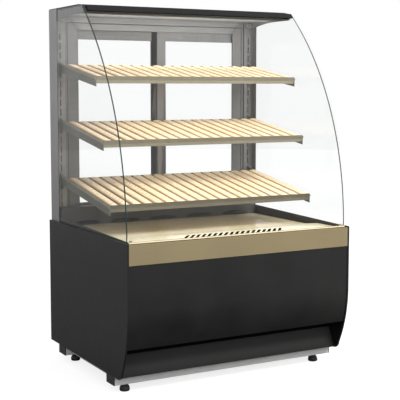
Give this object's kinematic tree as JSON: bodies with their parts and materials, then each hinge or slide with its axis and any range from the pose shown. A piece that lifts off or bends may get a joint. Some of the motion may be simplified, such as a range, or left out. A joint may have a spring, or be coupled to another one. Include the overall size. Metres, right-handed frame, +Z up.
{
  "type": "bakery display case",
  "caption": "Curved-glass bakery display case with tilted slatted wooden shelves over a lit deck, sliding rear doors, a lift-up front glass and a dark base cabinet on screw feet.",
  "frame": {"origin": "on the floor under the middle of the case", "axes": "+X to the right as a customer faces it, +Y towards the rear doors, +Z up"},
  "size_m": [0.94, 0.745, 1.3955],
  "materials": {
    "black_paint": "satin powder coat",
    "champagne_paint": "satin metallic lacquer",
    "grey_paint": "satin powder coat",
    "anodised": "satin anodised",
    "dark_lining": "satin powder coat",
    "galvanised": "zinc plated",
    "black_plastic": "moulded",
    "rubber": "matt",
    "glass": "clear tempered",
    "diffuser": "opal",
    "wood": "oiled beech",
    "steel": "plated"
  },
  "bodies": {
    "cabinet": {"arm_screws": "steel", "bottom_pan": "galvanised", "canopy_arms": "grey_paint", "canopy_nose": "black_paint", "canopy_top": "black_paint", "canopy_underside": "grey_paint", "cross_members": "galvanised", "display_deck": "champagne_paint", "door_surround": "anodised", "fan_frame": "black_plastic", "fascia_band": "champagne_paint", "front_panel": "black_paint", "front_rail": "galvanised", "glass_rests": "rubber", "groove_channel": "black_paint", "hinge_lugs": "black_paint", "hinge_pins": "steel", "kick_panel": "black_paint", "lamp_diffuser": "diffuser", "lamp_driver": "black_plastic", "lamp_housing": "galvanised", "post_left": "grey_paint", "post_right": "grey_paint", "power_inlet": "black_plastic", "rail_end_caps": "black_plastic", "rear_rail": "galvanised", "rear_wall": "dark_lining", "service_panel": "black_paint", "shelf_low_back_rail": "champagne_paint", "shelf_low_brackets": "champagne_paint", "shelf_low_front_rail": "champagne_paint", "shelf_low_grid": "wood", "shelf_middle_back_rail": "champagne_paint", "shelf_middle_brackets": "champagne_paint", "shelf_middle_front_rail": "champagne_paint", "shelf_middle_grid": "wood", "shelf_top_back_rail": "champagne_paint", "shelf_top_brackets": "champagne_paint", "shelf_top_front_rail": "champagne_paint", "shelf_top_grid": "wood", "side_glass_left": "glass", "side_glass_right": "glass", "side_linings": "dark_lining", "side_panel_left": "black_paint", "side_panel_right": "black_paint", "track_bottom": "anodised", "track_top": "anodised"},
    "front_glass": {"front_glass": "glass", "glass_clip_bar": "black_paint", "hinge_leaves": "black_paint"},
    "door_left": {"door_left_frame": "anodised", "door_left_pane": "glass"},
    "door_right": {"door_right_frame": "anodised", "door_right_pane": "glass"},
    "fan_rotor": {"fan_rotor": "black_plastic"},
    "lamp_switch": {"lamp_switch": "black_plastic"},
    "foot_front_left": {"foot_front_left": "black_plastic"},
    "foot_front_right": {"foot_front_right": "black_plastic"},
    "foot_rear_left": {"foot_rear_left": "black_plastic"},
    "foot_rear_right": {"foot_rear_right": "black_plastic"}
  },
  "joints": [
    {"name": "front_glass_lift", "type": "hinge", "parent": "cabinet", "child": "front_glass", "pos_m": [0, 0.0475, 1.3865], "axis": [-1, 0, 0], "range_deg": [0, 75]},
    {"name": "door_left_slide", "type": "slide", "parent": "cabinet", "child": "door_left", "axis": [1, 0, 0], "range_m": [0, 0.372]},
    {"name": "door_right_slide", "type": "slide", "parent": "cabinet", "child": "door_right", "axis": [-1, 0, 0], "range_m": [0, 0.372]},
    {"name": "lamp_switch_rock", "type": "hinge", "parent": "cabinet", "child": "lamp_switch", "pos_m": [0.267, 0.3655, 0.4735], "axis": [-1, 0, 0], "range_deg": [0, 16]},
    {"name": "fan_spin", "type": "hinge", "parent": "cabinet", "child": "fan_rotor", "pos_m": [0, 0.0155, 0.1285], "axis": [0, 1, 0], "continuous": true},
    {"name": "foot_front_left_turn", "type": "hinge", "parent": "cabinet", "child": "foot_front_left", "pos_m": [-0.413, -0.2195, 0.03], "axis": [0, 0, 1], "continuous": true},
    {"name": "foot_front_right_turn", "type": "hinge", "parent": "cabinet", "child": "foot_front_right", "pos_m": [0.413, -0.2195, 0.03], "axis": [0, 0, 1], "continuous": true},
    {"name": "foot_rear_left_turn", "type": "hinge", "parent": "cabinet", "child": "foot_rear_left", "pos_m": [-0.413, 0.2485, 0.03], "axis": [0, 0, 1], "continuous": true},
    {"name": "foot_rear_right_turn", "type": "hinge", "parent": "cabinet", "child": "foot_rear_right", "pos_m": [0.413, 0.2485, 0.03], "axis": [0, 0, 1], "continuous": true}
  ]
}
